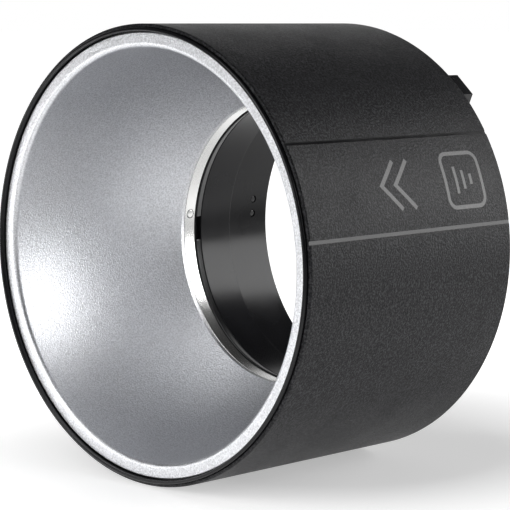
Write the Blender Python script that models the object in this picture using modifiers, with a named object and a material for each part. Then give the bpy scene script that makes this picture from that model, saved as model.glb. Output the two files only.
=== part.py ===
"""Snoot for a compact studio lamp head: a short black tube with a bright bowl inside.

The parts are modelled on a bench frame that stands on its rear end: +Z points out of the mouth,
Z = 0 is the shoulder that the lamp head rests against, and the tube's axis is the Z axis. The empty
"axis_frame" lays the whole assembly down, so that the finished object looks along -Y, with +Z up.
Angles go round the axis from +X, and are the same before and after it is laid down.

Sizes are in millimetres, and MM turns them into metres. Profiles give (radius, depth), where depth
is measured from the mouth plane towards the lamp head.
"""
import math

import bmesh
import bpy
from mathutils import Matrix

MM = 0.001
GAP = 0.3                      # clearance left where two pieces touch or nest
SEGMENTS = 60                  # facets round every large turned piece
FINE_SEGMENTS = 16             # facets round screws, pins and their holes

# Driving dimensions
SHELL_R = 60.0                 # outside of the tube
SHELL_BORE_R = 57.5
SHELL_FRONT = -0.5             # the tube's front edge stands just proud of the mouth plane
SHELL_LIP = 0.6                # chamfer on that edge, towards the trim ring
SHELL_REAR = 76.05
SEAT_DEPTH = 69.8              # mouth plane to the shoulder that stops the lamp head
SOCKET_R = 45.3                # bore that slips over the lamp head
NECK_R = 47.1
NECK_END = 90.6
SLEEVE_R = 40.0                # light path in front of the shoulder
THROAT_R = 39.6
BOWL_EDGE_R = 53.9             # front end of the bowl's wall
BOWL_EDGE_ROUND = 1.4          # soft edge between the flat flange and the wall
THROAT_DEPTH = 49.8
BOWL_CURVE = 2.7               # power law of the bowl: 1 is a cone, more is rounder at the throat
SHEET = 1.0                    # spun sheet of the bowl

# Label panel between two shallow grooves along the tube
GROOVE_ANGLES = (31.5, 7.78)
GROOVE_WIDTH = 1.3
GROOVE_BOTTOM_R = 59.6

# Front trim ring, which carries the bowl's flange
FLANGE_R = 57.85
FLANGE_BACK = 0.9
TRIM_R = 58.85
TRIM_CREST_R = 58.4
TRIM_CREST = -1.5
TRIM_ROUND = 0.45              # how far the crest falls off towards the tube
TRIM_EDGE = 0.1                # chamfer at the trim ring's bore
LEDGE_R = 56.2
TRIM_SEAT = 2.5                # the trim ring's back face, on a step inside the tube
TRIM_END = 6.0

# Throat: ring, rivets and retaining ring
TAIL_END = 55.0                # the bowl's tail, inside the collar
TAIL_BORE_R = 41.2
TAIL_R = 42.0
THROAT_RING_START = 51.15
RIVET_ANGLES = (52.7, 172.7, 292.7)
RIVET_DEPTH = 53.1
RIVET_R = 1.2
RIVET_HEAD_R = 2.0
RIVET_HEAD_HEIGHT = 0.8
RETAINER_END = 57.8
RETAINER_LIP_R = 39.15         # its sloping bore, at the front and at the rear
RETAINER_BORE_R = 39.95
RETAINER_SPLIT = (174.2, 183.9)

# Collar and the bulkhead that carries it
COLLAR_FRONT = 50.8
COLLAR_R = 43.6
COLLAR_FLANGE_R = 54.5
COLLAR_FLANGE_FRONT = 67.5
BULKHEAD_R = 58.2
BULKHEAD_FRONT = SEAT_DEPTH + GAP
BULKHEAD_REAR = 72.6
COLLAR_SCREW_ANGLES = (83.85, 203.85, 323.85)
COLLAR_SCREW_CIRCLE_R = 51.2

# Lock ring with its finger tab
LOCK_R = 55.0
LOCK_BORE_R = NECK_R + GAP
LOCK_FRONT = 76.4
LOCK_REAR = 79.4
LOCK_TURN = 18.0               # degrees from open to locked
TAB_ANGLE = 47.05
TAB_R = 59.6
TAB_ROOT_R = 54.6
TAB_HALF_WIDTH = 3.7
TAB_FLARE = 20.0               # degrees that each side widens towards the root
TAB_REAR = 80.1

# Spring washer in front of the lock ring
WASHER_INNER_R = NECK_R + 0.4
WASHER_OUTER_R = NECK_R + 1.7
WASHER_THICKNESS = 0.5
WASHER_WAVE = 1.2              # height of its waves, to each side of the middle

# Grip shoes, driven by cam pins that run in the lock ring's slots
GRIP_ANGLES = (53.85, 173.85, 293.85)
GRIP_TRAVEL = 1.2
GRIP_HALF_WIDTH = 5.0
GRIP_FRONT = LOCK_REAR + 2 * GAP
GRIP_REAR = 85.8
GRIP_INNER_R = 48.7
GRIP_OUTER_R = 52.6
GRIP_REAR_R = 50.2             # the outer face tapers to this at the rear
PEG_R = 1.0
PEG_SPACING = 4.34             # the two gripping pegs of a shoe, centre to centre
PEG_DEPTH = 84.5
PEG_TIP_R = SOCKET_R + 0.15
PEG_ROOT = 0.6                 # how deep a peg goes into its shoe
CAM_PIN_CIRCLE_R = 50.9
CAM_PIN_START = 76.9
CAM_PIN_END = 82.0

# End cap over the shoes
CAP_FRONT = LOCK_REAR + GAP
CAP_R = 54.2
CAP_SHOULDER = 81.5            # the cap tapers behind this
GRIP_SHOULDER = CAP_SHOULDER + 0.1
CAP_END_R = 48.4
CAP_SCREW_ANGLES = (113.85, 233.85, 353.85)
CAP_SCREW_CIRCLE_R = 50.4
CAP_SCREW_FLOOR = 83.5         # bottom of the screw's counterbore

# Screws
SCREW_R = 1.25
SCREW_HEAD_R = 1.9
SCREW_HEAD_HEIGHT = 1.5
SCREW_HEAD_CHAMFER = 0.2
SCREW_TIP_CHAMFER = 0.3
SOCKET_HEX_R = 1.0
SOCKET_HEX_DEPTH = 0.9

OPEN_END = 5.0                 # how far a cutter runs past the face it opens
OVERCUT = 1.0                  # the same, where there is no more room
CORNER = 0.4                   # chamfer at the socket's rear edge
SHELL_CORNER = 0.3             # chamfer on the tube's outer edges


# ---------------------------------------------------------------- scene and materials

def clear_scene():
    """Remove every object, so that the script starts from nothing."""
    for obj in list(bpy.data.objects):
        bpy.data.objects.remove(obj, do_unlink=True)


def new_collection(name):
    collection = bpy.data.collections.new(name)
    bpy.context.scene.collection.children.link(collection)
    return collection


def material(name, color, roughness, metallic=0.0):
    """A plain Principled material."""
    made = bpy.data.materials.new(name)
    made.use_nodes = True
    shader = made.node_tree.nodes["Principled BSDF"]
    shader.inputs["Base Color"].default_value = (*color, 1.0)
    shader.inputs["Roughness"].default_value = roughness
    shader.inputs["Metallic"].default_value = metallic
    return made


def make_materials():
    return {
        "shell_black": material("shell_black", (0.035, 0.035, 0.037), 0.55),
        "gloss_black": material("gloss_black", (0.012, 0.012, 0.013), 0.22),
        "satin_silver": material("satin_silver", (0.82, 0.82, 0.80), 0.32, 1.0),
        "bright_silver": material("bright_silver", (0.86, 0.86, 0.85), 0.15, 1.0),
        "spring_steel": material("spring_steel", (0.42, 0.42, 0.43), 0.30, 1.0),
        "screw_steel": material("screw_steel", (0.10, 0.10, 0.11), 0.35, 1.0),
    }


# ---------------------------------------------------------------- shapes

def height(depth):
    """Bench height, in metres, of a depth behind the mouth plane."""
    return (SEAT_DEPTH - depth) * MM


def add_object(name, mesh, collection, look=None):
    obj = bpy.data.objects.new(name, mesh)
    collection.objects.link(obj)
    if look is not None:
        mesh.materials.append(look)
    return obj


def turned(name, profile, collection, look=None, closed=True, steps=SEGMENTS):
    """A piece turned about Z from (radius, height) points in metres.

    The points run down the outer side and up the inner one. An open profile starts and ends on
    the axis.
    """
    mesh = bpy.data.meshes.new(name)
    count = len(profile)
    edges = [(i, i + 1) for i in range(count - 1)]
    if closed:
        edges.append((count - 1, 0))
    mesh.from_pydata([(r, 0.0, z) for r, z in profile], edges, [])
    obj = add_object(name, mesh, collection, look)
    screw = obj.modifiers.new("turn", "SCREW")
    screw.axis = "Z"
    screw.angle = math.tau
    screw.steps = steps
    screw.render_steps = steps
    screw.use_merge_vertices = True
    screw.merge_threshold = 0.00001
    screw.use_smooth_shade = False
    return obj


def ring(name, points, collection, look=None):
    """A large turned ring from (radius, depth) points in millimetres."""
    profile = [(r * MM, height(depth)) for r, depth in points]
    return turned(name, profile, collection, look)


def baked(obj):
    """Replace the object's modifiers with the mesh that they make."""
    depsgraph = bpy.context.evaluated_depsgraph_get()
    mesh = bpy.data.meshes.new_from_object(obj.evaluated_get(depsgraph))
    mesh.name = obj.name
    obj.modifiers.clear()
    obj.data = mesh
    return obj


def flat_mesh(name, points, thickness):
    """A closed plate, centred on Z = 0, from a flat outline in metres."""
    curve = bpy.data.curves.new(name, "CURVE")
    curve.dimensions = "2D"
    curve.fill_mode = "BOTH"
    curve.extrude = thickness / 2
    spline = curve.splines.new("POLY")
    spline.points.add(len(points) - 1)
    for point, (x, y) in zip(spline.points, points):
        point.co = (x, y, 0.0, 1.0)
    spline.use_cyclic_u = True
    holder = bpy.data.objects.new(name, curve)
    bpy.context.scene.collection.objects.link(holder)
    depsgraph = bpy.context.evaluated_depsgraph_get()
    mesh = bpy.data.meshes.new_from_object(holder.evaluated_get(depsgraph))
    bpy.data.objects.remove(holder, do_unlink=True)
    welded = bmesh.new()
    welded.from_mesh(mesh)
    bmesh.ops.remove_doubles(welded, verts=welded.verts, dist=0.000001)
    bmesh.ops.recalc_face_normals(welded, faces=welded.faces)
    welded.to_mesh(mesh)
    welded.free()
    return mesh


def along_axis(angle, radius, depth):
    """Frame at a place round the axis: local X runs outwards and local Z runs to the mouth."""
    turn = Matrix.Rotation(math.radians(angle), 4, "Z")
    return turn @ Matrix.Translation((radius * MM, 0.0, height(depth)))


def outwards(angle, radius, depth, sideways=0.0):
    """Frame whose local Z runs straight out from the axis, shifted sideways if asked."""
    turn = Matrix.Rotation(math.radians(angle), 4, "Z")
    place = Matrix.Translation((radius * MM, sideways * MM, height(depth)))
    return turn @ place @ Matrix.Rotation(math.radians(90), 4, "Y")


def rod(shape, frame, radius, start, end, sides=FINE_SEGMENTS):
    """Add a straight cylinder, from start to end (millimetres) along the frame's local Z."""
    middle = Matrix.Translation((0.0, 0.0, (start + end) / 2 * MM))
    bmesh.ops.create_cone(
        shape, cap_ends=True, segments=sides, radius1=radius * MM, radius2=radius * MM,
        depth=(end - start) * MM, matrix=frame @ middle)


def box(shape, frame, size):
    """Add a box of the given size (millimetres), centred on the frame."""
    stretch = Matrix.Diagonal((size[0] * MM, size[1] * MM, size[2] * MM, 1.0))
    bmesh.ops.create_cube(shape, size=1.0, matrix=frame @ stretch)


def add_mesh(shape, mesh, frame):
    """Add a copy of a mesh at a frame."""
    copy = mesh.copy()
    copy.transform(frame)
    shape.from_mesh(copy)
    bpy.data.meshes.remove(copy)


def combine(obj, shape, cutters, operation="DIFFERENCE"):
    """Cut the object with the shape, or join the two, by a Boolean modifier."""
    mesh = bpy.data.meshes.new(obj.name + "_cutter")
    shape.to_mesh(mesh)
    shape.free()
    tool = add_object(obj.name + "_cutter", mesh, cutters)
    tool.hide_render = True
    tool.display_type = "WIRE"
    boolean = obj.modifiers.new(operation.lower(), "BOOLEAN")
    boolean.operation = operation
    boolean.solver = "EXACT"
    boolean.object = tool
    return tool


def arc_slot(angles, radii, half_width, steps=8):
    """Outline, in metres, of a slot whose middle line goes between two angles and two radii."""
    middle = []
    for step in range(steps + 1):
        share = step / steps
        angle = math.radians(angles[0] + (angles[1] - angles[0]) * share)
        radius = radii[0] + (radii[1] - radii[0]) * share
        middle.append((radius, angle))
    outer = [((r + half_width) * MM, a) for r, a in middle]
    inner = [((r - half_width) * MM, a) for r, a in reversed(middle)]
    points = [(r * math.cos(a), r * math.sin(a)) for r, a in outer]
    points += round_end(middle[-1], half_width, 1)
    points += [(r * math.cos(a), r * math.sin(a)) for r, a in inner]
    points += round_end(middle[0], half_width, -1)
    return points


def round_end(centre, half_width, direction, steps=4):
    """Points of a slot's half-round end, between its two sides."""
    radius, angle = centre
    x, y = radius * math.cos(angle), radius * math.sin(angle)
    first = angle if direction > 0 else angle + math.pi
    points = []
    for step in range(1, steps):
        turn = first + math.pi * step / steps
        points.append(((x + half_width * math.cos(turn)) * MM, (y + half_width * math.sin(turn)) * MM))
    return points


def screw_mesh(name, length, look):
    """A socket cap screw: head above Z = 0, shank below it."""
    head_top = SCREW_HEAD_HEIGHT
    top_edge, tip_edge = SCREW_HEAD_CHAMFER, SCREW_TIP_CHAMFER
    profile = [
        (0.0, head_top), (SCREW_HEAD_R - top_edge, head_top), (SCREW_HEAD_R, head_top - top_edge),
        (SCREW_HEAD_R, 0.0), (SCREW_R, 0.0), (SCREW_R, -length + tip_edge),
        (SCREW_R - tip_edge, -length), (0.0, -length)]
    holder = bpy.data.collections["cutters"]
    metres = [(r * MM, z * MM) for r, z in profile]
    obj = turned(name, metres, holder, look, closed=False, steps=FINE_SEGMENTS)
    recess = bmesh.new()
    rod(recess, Matrix(), SOCKET_HEX_R, head_top - SOCKET_HEX_DEPTH, head_top + OPEN_END, sides=6)
    tool = combine(obj, recess, holder)
    mesh = baked(obj).data
    bpy.data.objects.remove(tool, do_unlink=True)
    bpy.data.objects.remove(obj, do_unlink=True)
    return mesh


def place_copies(name, mesh, frames, collection):
    """One object for each frame, all sharing the mesh."""
    for number, frame in enumerate(frames, start=1):
        piece = add_object(f"{name}_{number}", mesh, collection)
        piece.matrix_world = frame


# ---------------------------------------------------------------- the fixed parts

def outer_shell(parts, cutters, looks):
    """Drawn tube with a step at each end and two long grooves that frame the label panel."""
    edge = SHELL_CORNER
    shell = ring("outer_shell", [
        (SHELL_R - SHELL_LIP, SHELL_FRONT), (SHELL_R, SHELL_FRONT + SHELL_LIP),
        (SHELL_R, SHELL_REAR - edge), (SHELL_R - edge, SHELL_REAR),
        (BULKHEAD_R + GAP, SHELL_REAR), (BULKHEAD_R + GAP, SEAT_DEPTH),
        (SHELL_BORE_R, SEAT_DEPTH), (SHELL_BORE_R, TRIM_SEAT + GAP),
        (TRIM_R + GAP, TRIM_SEAT + GAP), (TRIM_R + GAP, SHELL_FRONT)], parts, looks["shell_black"])
    grooves = bmesh.new()
    length = SHELL_REAR - SHELL_FRONT + 2 * OPEN_END
    middle = (SHELL_REAR + SHELL_FRONT) / 2
    for angle in GROOVE_ANGLES:
        reach = SHELL_R + OPEN_END - GROOVE_BOTTOM_R
        frame = along_axis(angle, GROOVE_BOTTOM_R + reach / 2, middle)
        box(grooves, frame, (reach, GROOVE_WIDTH, length))
    combine(shell, grooves, cutters)


def front_trim_ring(parts, looks):
    """Rounded bead round the mouth, with a ledge behind the bowl's flange."""
    bore = FLANGE_R + GAP
    ring("front_trim_ring", [
        (bore + TRIM_EDGE, TRIM_CREST), (TRIM_CREST_R, TRIM_CREST),
        (TRIM_R, TRIM_CREST + TRIM_ROUND),
        (TRIM_R, TRIM_SEAT), (SHELL_BORE_R - GAP, TRIM_SEAT), (SHELL_BORE_R - GAP, TRIM_END),
        (LEDGE_R, TRIM_END), (LEDGE_R, FLANGE_BACK + GAP), (bore, FLANGE_BACK + GAP),
        (bore, TRIM_CREST + TRIM_EDGE)], parts, looks["gloss_black"])


def bowl_radius(depth):
    """Inner radius of the wall, which falls ever faster from its front end to the throat."""
    share = (depth - BOWL_EDGE_ROUND) / (THROAT_DEPTH - BOWL_EDGE_ROUND)
    return BOWL_EDGE_R - (BOWL_EDGE_R - THROAT_R) * share ** BOWL_CURVE


def reflector_bowl(parts, cutters, looks):
    """Spun bowl: a flat flange at the mouth, a round wall, and a tail that the rivets hold."""
    steps = 9
    edge = BOWL_EDGE_ROUND
    depths = [edge + (THROAT_DEPTH - edge) * i / steps for i in range(steps + 1)]
    inside = [(bowl_radius(depth), depth) for depth in depths]
    outside = [(max(r + SHEET, TAIL_R), depth) for r, depth in inside[1:-1]]
    bowl = ring("reflector_bowl", [
        (FLANGE_R, 0.0), (FLANGE_R, FLANGE_BACK), (BOWL_EDGE_R + edge, FLANGE_BACK), *outside,
        (TAIL_R, THROAT_DEPTH), (TAIL_R, TAIL_END), (TAIL_BORE_R, TAIL_END),
        (TAIL_BORE_R, THROAT_RING_START - GAP), (THROAT_R, THROAT_RING_START - GAP),
        *reversed(inside), (BOWL_EDGE_R + 0.3 * edge, 0.3 * edge), (BOWL_EDGE_R + edge, 0.0)],
        parts, looks["satin_silver"])
    combine(bowl, rivet_holes(), cutters)


def rivet_holes():
    holes = bmesh.new()
    for angle in RIVET_ANGLES:
        rod(holes, outwards(angle, 0.0, RIVET_DEPTH), RIVET_R + GAP, THROAT_R - OPEN_END,
            COLLAR_R + OPEN_END)
    return holes


def throat_ring(parts, cutters, looks):
    """Bright cylinder that lines the throat."""
    end = TAIL_END
    band = ring("throat_ring", [
        (TAIL_BORE_R - GAP, THROAT_RING_START), (TAIL_BORE_R - GAP, end),
        (THROAT_R, end), (THROAT_R, THROAT_RING_START)], parts, looks["bright_silver"])
    combine(band, rivet_holes(), cutters)


def throat_rivets(parts, looks):
    """Rivets that hold the throat ring and the bowl's tail to the collar."""
    head = COLLAR_R + GAP
    top = head + RIVET_HEAD_HEIGHT
    end, corner = THROAT_R - 0.1, 0.2
    profile = [(0.0, top), (RIVET_HEAD_R - 0.6, top), (RIVET_HEAD_R, (head + top) / 2),
               (RIVET_HEAD_R, head), (RIVET_R, head), (RIVET_R, end + corner),
               (RIVET_R - corner, end), (0.0, end)]
    metres = [(r * MM, z * MM) for r, z in profile]
    holder = bpy.data.collections["cutters"]
    model = turned("throat_rivet", metres, holder, looks["bright_silver"], False, FINE_SEGMENTS)
    mesh = baked(model).data
    bpy.data.objects.remove(model, do_unlink=True)
    frames = [outwards(angle, 0.0, RIVET_DEPTH) for angle in RIVET_ANGLES]
    place_copies("throat_rivet", mesh, frames, parts)


def retaining_ring(parts, cutters, looks):
    """Split ring in the groove behind the throat ring."""
    front = TAIL_END + GAP
    clip = ring("retaining_ring", [
        (TAIL_BORE_R - GAP, front), (TAIL_BORE_R - GAP, RETAINER_END),
        (RETAINER_BORE_R, RETAINER_END), (RETAINER_LIP_R, front)], parts, looks["gloss_black"])
    split = bmesh.new()
    start, end = RETAINER_SPLIT
    width = 2 * SLEEVE_R * math.sin(math.radians(end - start) / 2)
    frame = along_axis((start + end) / 2, SLEEVE_R, (front + RETAINER_END) / 2)
    box(split, frame, (2 * OPEN_END, width, 2 * OPEN_END))
    combine(clip, split, cutters)


def mount_collar(parts, cutters, looks):
    """Neck, shoulder and front sleeve in one turning, with the holes for pegs and fasteners."""
    groove_end = RETAINER_END + GAP
    collar = ring("mount_collar", [
        (COLLAR_R, COLLAR_FRONT), (COLLAR_R, COLLAR_FLANGE_FRONT),
        (COLLAR_FLANGE_R, COLLAR_FLANGE_FRONT), (COLLAR_FLANGE_R, SEAT_DEPTH),
        (NECK_R, SEAT_DEPTH), (NECK_R, NECK_END), (SOCKET_R + CORNER, NECK_END),
        (SOCKET_R, NECK_END - CORNER), (SOCKET_R, SEAT_DEPTH), (SLEEVE_R, SEAT_DEPTH),
        (SLEEVE_R, groove_end), (TAIL_BORE_R, groove_end), (TAIL_BORE_R, TAIL_END + GAP),
        (TAIL_R + GAP, TAIL_END + GAP), (TAIL_R + GAP, COLLAR_FRONT)], parts, looks["gloss_black"])
    holes = rivet_holes()
    for angle in GRIP_ANGLES:
        for side in (-1, 1):
            frame = outwards(angle, 0.0, PEG_DEPTH, side * PEG_SPACING / 2)
            rod(holes, frame, PEG_R + GAP, SOCKET_R - OPEN_END, NECK_R + OPEN_END)
    for angle in COLLAR_SCREW_ANGLES:
        frame = along_axis(angle, COLLAR_SCREW_CIRCLE_R, SEAT_DEPTH)
        rod(holes, frame, SCREW_R + GAP, -OPEN_END, OPEN_END)
    combine(collar, holes, cutters)


def rear_bulkhead(parts, cutters, looks):
    """Annular plate inside the tube's rear end, which carries the collar and the end cap."""
    plate = ring("rear_bulkhead", [
        (BULKHEAD_R, BULKHEAD_FRONT), (BULKHEAD_R, BULKHEAD_REAR),
        (NECK_R + GAP, BULKHEAD_REAR), (NECK_R + GAP, BULKHEAD_FRONT)], parts, looks["shell_black"])
    holes = bmesh.new()
    places = [(angle, COLLAR_SCREW_CIRCLE_R) for angle in COLLAR_SCREW_ANGLES]
    places += [(angle, CAP_SCREW_CIRCLE_R) for angle in CAP_SCREW_ANGLES]
    for angle, circle in places:
        rod(holes, along_axis(angle, circle, BULKHEAD_FRONT), SCREW_R + GAP, -OPEN_END, OPEN_END)
    combine(plate, holes, cutters)


def collar_screws(parts, looks):
    """Screws through the bulkhead into the collar's flange, with their heads at the rear."""
    under_head = BULKHEAD_REAR + GAP
    length = under_head - COLLAR_FLANGE_FRONT - GAP
    mesh = screw_mesh("collar_screw", length, looks["screw_steel"])
    frames = [along_axis(angle, COLLAR_SCREW_CIRCLE_R, under_head)
              @ Matrix.Rotation(math.pi, 4, "X") for angle in COLLAR_SCREW_ANGLES]
    place_copies("collar_screw", mesh, frames, parts)


def wave_washer(parts, looks):
    """Thin spring washer, waved three times round, that loads the lock ring."""
    half = WASHER_THICKNESS / 2
    section = [(WASHER_INNER_R, -half), (WASHER_INNER_R, half),
               (WASHER_OUTER_R, half), (WASHER_OUTER_R, -half)]
    shape = bmesh.new()
    corners = [shape.verts.new((r * MM, 0.0, z * MM)) for r, z in section]
    edges = [shape.edges.new((corners[i - 1], corners[i])) for i in range(len(corners))]
    bmesh.ops.spin(shape, geom=corners + edges, cent=(0, 0, 0), axis=(0, 0, 1),
                   angle=math.tau, steps=SEGMENTS, use_merge=True)
    bmesh.ops.remove_doubles(shape, verts=shape.verts, dist=0.000001)
    middle = height((BULKHEAD_REAR + LOCK_FRONT) / 2)
    for vert in shape.verts:
        vert.co.z += middle + WASHER_WAVE * MM * math.sin(3 * math.atan2(vert.co.y, vert.co.x))
    bmesh.ops.recalc_face_normals(shape, faces=shape.faces)
    mesh = bpy.data.meshes.new("wave_washer")
    shape.to_mesh(mesh)
    shape.free()
    add_object("wave_washer", mesh, parts, looks["spring_steel"])


def end_cap(parts, cutters, looks):
    """Tapered cover behind the lock ring, with a pocket for each grip shoe."""
    cap = ring("end_cap", [
        (CAP_R, CAP_FRONT), (CAP_R, CAP_SHOULDER), (CAP_END_R, NECK_END),
        (NECK_R + GAP, NECK_END), (NECK_R + GAP, CAP_FRONT)], parts, looks["gloss_black"])
    outline = shoe_outline(NECK_R - OVERCUT, CAP_FRONT - OVERCUT, GAP)
    pocket = shoe_plate("pocket", outline, GRIP_HALF_WIDTH + GAP)
    cuts = bmesh.new()
    for angle in GRIP_ANGLES:
        add_mesh(cuts, pocket, Matrix.Rotation(math.radians(angle), 4, "Z"))
    bpy.data.meshes.remove(pocket)
    for angle in CAP_SCREW_ANGLES:
        stepped_hole(cuts, along_axis(angle, CAP_SCREW_CIRCLE_R, CAP_SCREW_FLOOR))
    combine(cap, cuts, cutters)


def stepped_hole(shape, frame):
    """Add a closed screw hole with a counterbore towards the frame's local -Z, as one body."""
    hole, well = SCREW_R + GAP, SCREW_HEAD_R + GAP
    front, rear = 2 * OPEN_END, -2 * OPEN_END
    profile = [(0.0, front), (hole, front), (hole, 0.0), (well, 0.0), (well, rear), (0.0, rear)]
    metres = [(r * MM, z * MM) for r, z in profile]
    holder = bpy.data.collections["cutters"]
    model = turned("stepped_hole", metres, holder, closed=False, steps=FINE_SEGMENTS)
    mesh = baked(model).data
    bpy.data.objects.remove(model, do_unlink=True)
    add_mesh(shape, mesh, frame)


def cap_screws(parts, looks):
    """Long screws that hold the end cap to the bulkhead, through the lock ring's slots."""
    under_head = CAP_SCREW_FLOOR + GAP
    length = under_head - BULKHEAD_FRONT - GAP
    mesh = screw_mesh("cap_screw", length, looks["screw_steel"])
    frames = [along_axis(angle, CAP_SCREW_CIRCLE_R, under_head)
              @ Matrix.Rotation(math.pi, 4, "X") for angle in CAP_SCREW_ANGLES]
    place_copies("cap_screw", mesh, frames, parts)


# ---------------------------------------------------------------- the moving parts

def lock_ring(parts, cutters, looks):
    """Ring with the finger tab, three cam slots and three slots that clear the cap's screws."""
    plate = ring("lock_ring", [
        (LOCK_R, LOCK_FRONT), (LOCK_R, LOCK_REAR), (LOCK_BORE_R, LOCK_REAR),
        (LOCK_BORE_R, LOCK_FRONT)], parts, looks["gloss_black"])
    root = TAB_HALF_WIDTH + (TAB_R - TAB_ROOT_R) * math.tan(math.radians(TAB_FLARE))
    outline = [(TAB_ROOT_R, -root), (TAB_R, -TAB_HALF_WIDTH), (TAB_R, TAB_HALF_WIDTH), (TAB_ROOT_R, root)]
    metres = [(x * MM, y * MM) for x, y in outline]
    tab = flat_mesh("finger_tab", metres, (TAB_REAR - LOCK_FRONT) * MM)
    joined = bmesh.new()
    add_mesh(joined, tab, along_axis(TAB_ANGLE, 0.0, (TAB_REAR + LOCK_FRONT) / 2))
    combine(plate, joined, cutters, "UNION")

    slots = bmesh.new()
    thickness = (LOCK_REAR - LOCK_FRONT + 2 * OPEN_END) * MM
    middle = Matrix.Translation((0.0, 0.0, height((LOCK_FRONT + LOCK_REAR) / 2)))
    for angle in GRIP_ANGLES:
        cam = arc_slot((angle - LOCK_TURN, angle), (CAM_PIN_CIRCLE_R - GRIP_TRAVEL, CAM_PIN_CIRCLE_R),
                       PEG_R + GAP)
        add_mesh(slots, flat_mesh("cam_slot", cam, thickness), middle)
    for angle in CAP_SCREW_ANGLES:
        clear = arc_slot((angle - LOCK_TURN, angle), (CAP_SCREW_CIRCLE_R, CAP_SCREW_CIRCLE_R),
                         SCREW_R + 1.2 * GAP)
        add_mesh(slots, flat_mesh("screw_slot", clear, thickness), middle)
    combine(plate, slots, cutters)


def shoe_outline(inner, front, room):
    """(radius, depth) outline of a grip shoe, or of its pocket when there is room round it."""
    outer, rear = GRIP_OUTER_R + room, GRIP_REAR + room
    return [(inner, front), (outer, front), (outer, GRIP_SHOULDER + room / 3),
            (GRIP_REAR_R + room, rear), (inner, rear)]


def shoe_plate(name, outline, half_width):
    """A block with the (radius, depth) outline in millimetres, standing at angle zero."""
    metres = [(r * MM, height(depth)) for r, depth in outline]
    mesh = flat_mesh(name, metres, 2 * half_width * MM)
    mesh.transform(Matrix.Rotation(math.radians(90), 4, "X"))
    return mesh


def grip_shoes(parts, looks):
    """Three sliding blocks, each with two pegs that pass through the neck."""
    holder = bpy.data.collections["cutters"]
    outline = shoe_outline(GRIP_INNER_R, GRIP_FRONT, 0.0)
    body = shoe_plate("grip_shoe", outline, GRIP_HALF_WIDTH)
    model = add_object("grip_shoe", body, holder, looks["gloss_black"])
    pegs = bmesh.new()
    for side in (-1, 1):
        frame = outwards(0.0, 0.0, PEG_DEPTH, side * PEG_SPACING / 2)
        rod(pegs, frame, PEG_R, PEG_TIP_R, GRIP_INNER_R + PEG_ROOT)
    joined = combine(model, pegs, holder, "UNION")
    hole = bmesh.new()
    frame = along_axis(0.0, CAM_PIN_CIRCLE_R, CAM_PIN_END + GAP)
    rod(hole, frame, PEG_R + GAP, 0.0, OPEN_END)
    cut = combine(model, hole, holder)
    mesh = baked(model).data
    for used in (joined, cut, model):
        bpy.data.objects.remove(used, do_unlink=True)
    frames = [Matrix.Rotation(math.radians(angle), 4, "Z") for angle in GRIP_ANGLES]
    place_copies("grip_shoe", mesh, frames, parts)


def cam_pins(parts, looks):
    """Steel pins pressed into the shoes, which follow the lock ring's slots."""
    shape = bmesh.new()
    rod(shape, Matrix(), PEG_R, 0.0, CAM_PIN_END - CAM_PIN_START)
    mesh = bpy.data.meshes.new("cam_pin")
    shape.to_mesh(mesh)
    shape.free()
    mesh.materials.append(looks["spring_steel"])
    frames = [along_axis(angle, CAM_PIN_CIRCLE_R, CAM_PIN_END) for angle in GRIP_ANGLES]
    place_copies("cam_pin", mesh, frames, parts)


def lay_down(parts, cutters):
    """Parent everything to the axis frame and turn it, so that the mouth faces -Y."""
    frame = bpy.data.objects.new("axis_frame", None)
    parts.objects.link(frame)
    bpy.context.view_layer.update()
    for obj in list(parts.objects) + list(cutters.objects):
        if obj is not frame:
            obj.parent = frame
    frame.rotation_euler = (math.radians(90), 0.0, 0.0)


def shade(parts):
    """Smooth shading on the baked round pieces, with their corners kept crisp."""
    for obj in parts.objects:
        if obj.type == "MESH" and not obj.modifiers and not obj.data.get("shaded"):
            obj.data.shade_smooth()
            obj.data.set_sharp_from_angle(angle=math.radians(35))
            obj.data["shaded"] = True


def build():
    clear_scene()
    parts = new_collection("snoot")
    cutters = new_collection("cutters")
    looks = make_materials()

    outer_shell(parts, cutters, looks)
    front_trim_ring(parts, looks)
    reflector_bowl(parts, cutters, looks)
    throat_ring(parts, cutters, looks)
    throat_rivets(parts, looks)
    retaining_ring(parts, cutters, looks)
    mount_collar(parts, cutters, looks)
    rear_bulkhead(parts, cutters, looks)
    collar_screws(parts, looks)
    wave_washer(parts, looks)
    lock_ring(parts, cutters, looks)
    grip_shoes(parts, looks)
    cam_pins(parts, looks)
    end_cap(parts, cutters, looks)
    cap_screws(parts, looks)

    shade(parts)
    lay_down(parts, cutters)


build()
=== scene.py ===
import math

import bmesh
import bpy
from mathutils import Matrix, Vector


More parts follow.
